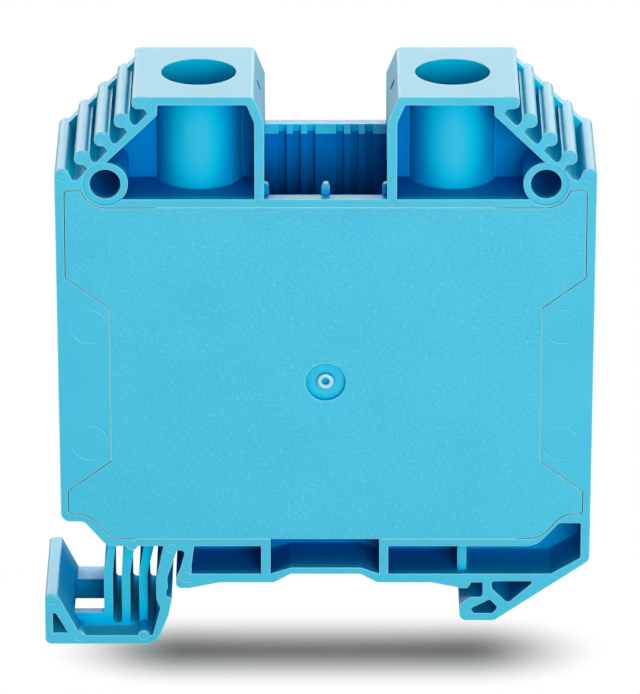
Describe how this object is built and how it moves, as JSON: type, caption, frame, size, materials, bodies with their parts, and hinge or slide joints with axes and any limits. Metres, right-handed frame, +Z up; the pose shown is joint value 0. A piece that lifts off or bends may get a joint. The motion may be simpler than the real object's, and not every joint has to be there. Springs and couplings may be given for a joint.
{
  "type": "feed-through terminal block",
  "caption": "Blue feed-through screw terminal block that snaps on a mounting rail, with guide tubes, finger ribs, a marking valley and a sprung foot.",
  "frame": {"origin": "middle of the rail seat: on the plane of the two seat pads, half way between the rail's edges and half way through the block's width", "axes": "+X along the wires towards the fixed hook's end, +Y along the rail from the covered face to the back, +Z up out of the rail towards the screws"},
  "size_m": [0.0611, 0.016, 0.0654],
  "materials": {
    "moulding": "satin moulded thermoplastic, sky blue",
    "cover": "finely spark-eroded moulded thermoplastic, sky blue",
    "tinned_bar": "tin-plated copper, dull",
    "plated_steel": "zinc-plated",
    "screw_steel": "zinc-plated, turned"
  },
  "bodies": {
    "block": {"housing": "moulding", "side_cover": "cover", "current_bar": "tinned_bar"},
    "screw_left": {"clamp_screw_left": "screw_steel"},
    "screw_right": {"clamp_screw_right": "screw_steel"},
    "yoke_left": {"clamp_yoke_left": "plated_steel"},
    "yoke_right": {"clamp_yoke_right": "plated_steel"}
  },
  "joints": [
    {"name": "screw_turn_left", "type": "hinge", "parent": "block", "child": "screw_left", "pos_m": [-0.01395, 0, 0.04], "axis": [0, 0, -1], "range_deg": [0, 3096]},
    {"name": "screw_turn_right", "type": "hinge", "parent": "block", "child": "screw_right", "pos_m": [0.01395, 0, 0.04], "axis": [0, 0, -1], "range_deg": [0, 3096]},
    {"name": "yoke_rise_left", "type": "slide", "parent": "block", "child": "yoke_left", "axis": [0, 0, 1], "range_m": [0, 0.0086]},
    {"name": "yoke_rise_right", "type": "slide", "parent": "block", "child": "yoke_right", "axis": [0, 0, 1], "range_m": [0, 0.0086]}
  ],
  "couplings": [
    {"joint": "screw_turn_left", "follows": "yoke_rise_left", "rad_per_m": 6283.2},
    {"joint": "screw_turn_right", "follows": "yoke_rise_right", "rad_per_m": 6283.2}
  ]
}
